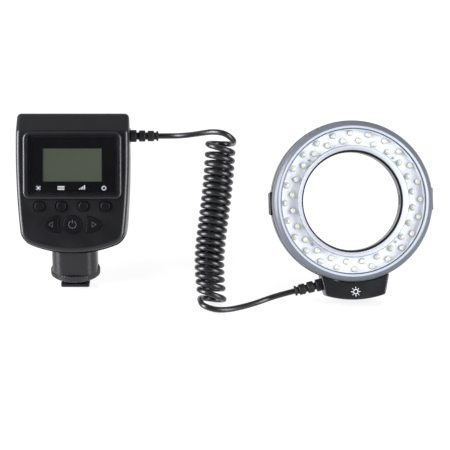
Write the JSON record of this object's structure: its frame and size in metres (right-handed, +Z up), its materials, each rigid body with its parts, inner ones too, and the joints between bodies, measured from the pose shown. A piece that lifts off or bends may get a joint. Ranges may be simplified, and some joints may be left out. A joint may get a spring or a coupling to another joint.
{
  "type": "macro ring flash",
  "caption": "Ring lamp for close-up photography that clips round a lens, joined by a curly cord to a hot-shoe controller with a display and keys.",
  "frame": {"origin": "centre of the hot-shoe foot's underside, on the surface that the object stands on", "axes": "+X from the controller to the ring lamp, +Y away from the viewer, +Z up"},
  "size_m": [0.2713, 0.0816, 0.113],
  "materials": {
    "case_plastic": "fine satin moulded",
    "window_plate": "gloss",
    "mask": "matt print",
    "lcd": "satin",
    "light_guide": "satin",
    "key_rubber": "satin",
    "board_green": "satin",
    "component_black": "matt",
    "battery": "gloss",
    "spring_steel": "bright",
    "black_steel": "black zinc",
    "foot_aluminium": "black anodised",
    "contact_brass": "bright",
    "boot_rubber": "matt",
    "cord_rubber": "satin",
    "clear_plastic": "gloss",
    "white_plastic": "satin",
    "led_lens": "gloss"
  },
  "bodies": {
    "case": {"front_cover": "case_plastic", "rear_cover": "case_plastic", "display_window": "window_plate", "window_mask": "mask", "lcd_panel": "lcd", "lcd_backlight": "light_guide", "key_mat": "key_rubber", "key_switches": "component_black", "main_board": "board_green", "board_parts": "component_black", "case_screws": "black_steel", "battery_tray": "case_plastic", "battery_cells": "battery", "cell_contacts": "spring_steel", "pedestal": "case_plastic", "pedestal_plate": "spring_steel", "pedestal_screws": "black_steel", "shoe_foot": "foot_aluminium", "contact_spring": "spring_steel", "controller_boot": "boot_rubber", "cord_clip_case": "case_plastic", "cord_lead_top": "cord_rubber", "cord_curls": "cord_rubber", "cord_lead_bottom": "cord_rubber", "ring_boot": "boot_rubber", "cord_clip_pod": "case_plastic", "pod_front": "case_plastic", "pod_rear": "case_plastic", "pod_screws": "black_steel", "driver_board": "board_green", "clear_cover": "clear_plastic", "ring_housing": "case_plastic", "rear_plate": "case_plastic", "ring_screws": "black_steel", "led_board": "board_green", "leds": "led_lens", "reflector_plate": "white_plastic", "plate_screws": "spring_steel", "latch_spring_left": "spring_steel", "latch_spring_right": "spring_steel"},
    "battery_door": {"battery_door": "case_plastic"},
    "lock_wheel": {"lock_wheel": "case_plastic"},
    "lock_plate": {"lock_plate": "foot_aluminium"},
    "centre_contact": {"centre_contact": "contact_brass"},
    "latch_left": {"latch_ring_left": "case_plastic", "release_button_left": "case_plastic"},
    "latch_right": {"latch_ring_right": "case_plastic", "release_button_right": "case_plastic"},
    "round_key_1": {"round_key_1": "key_rubber"},
    "round_key_2": {"round_key_2": "key_rubber"},
    "round_key_3": {"round_key_3": "key_rubber"},
    "round_key_4": {"round_key_4": "key_rubber"},
    "nav_key_left": {"nav_key_left": "key_rubber"},
    "nav_key_centre": {"nav_key_centre": "key_rubber"},
    "nav_key_right": {"nav_key_right": "key_rubber"}
  },
  "joints": [
    {"name": "battery_door_slide", "type": "slide", "parent": "case", "child": "battery_door", "axis": [0, 0, -1], "range_m": [0, 0.012]},
    {"name": "lock_plate_slide", "type": "slide", "parent": "case", "child": "lock_plate", "axis": [0, 0, -1], "range_m": [0, 0.001]},
    {"name": "lock_wheel_turn", "type": "hinge", "parent": "lock_plate", "child": "lock_wheel", "pos_m": [0, 0, 0.0083], "axis": [0, 0, -1], "range_deg": [0, 360]},
    {"name": "centre_contact_slide", "type": "slide", "parent": "case", "child": "centre_contact", "axis": [0, 0, 1], "range_m": [0, 0.0008], "stiffness_N_per_m": 400, "deforming": ["contact_spring"]},
    {"name": "release_left_slide", "type": "slide", "parent": "case", "child": "latch_left", "axis": [0.9969, 0.0785, 0], "range_m": [0, 0.0012], "stiffness_N_per_m": 600, "deforming": ["latch_spring_left"]},
    {"name": "release_right_slide", "type": "slide", "parent": "case", "child": "latch_right", "axis": [-0.9969, -0.0785, 0], "range_m": [0, 0.0012], "stiffness_N_per_m": 600, "deforming": ["latch_spring_right"]},
    {"name": "round_key_1_press", "type": "slide", "parent": "case", "child": "round_key_1", "axis": [0, 0.9397, -0.342], "range_m": [0, 0.0008], "stiffness_N_per_m": 200},
    {"name": "round_key_2_press", "type": "slide", "parent": "case", "child": "round_key_2", "axis": [0, 0.9397, -0.342], "range_m": [0, 0.0008], "stiffness_N_per_m": 200},
    {"name": "round_key_3_press", "type": "slide", "parent": "case", "child": "round_key_3", "axis": [0, 0.9397, -0.342], "range_m": [0, 0.0008], "stiffness_N_per_m": 200},
    {"name": "round_key_4_press", "type": "slide", "parent": "case", "child": "round_key_4", "axis": [0, 0.9397, -0.342], "range_m": [0, 0.0008], "stiffness_N_per_m": 200},
    {"name": "nav_key_left_press", "type": "slide", "parent": "case", "child": "nav_key_left", "axis": [0, 0.9397, -0.342], "range_m": [0, 0.0008], "stiffness_N_per_m": 200},
    {"name": "nav_key_centre_press", "type": "slide", "parent": "case", "child": "nav_key_centre", "axis": [0, 0.9397, -0.342], "range_m": [0, 0.0008], "stiffness_N_per_m": 200},
    {"name": "nav_key_right_press", "type": "slide", "parent": "case", "child": "nav_key_right", "axis": [0, 0.9397, -0.342], "range_m": [0, 0.0008], "stiffness_N_per_m": 200}
  ],
  "couplings": [
    {"joint": "lock_wheel_turn", "follows": "lock_plate_slide", "rad_per_m": 6283.2}
  ]
}
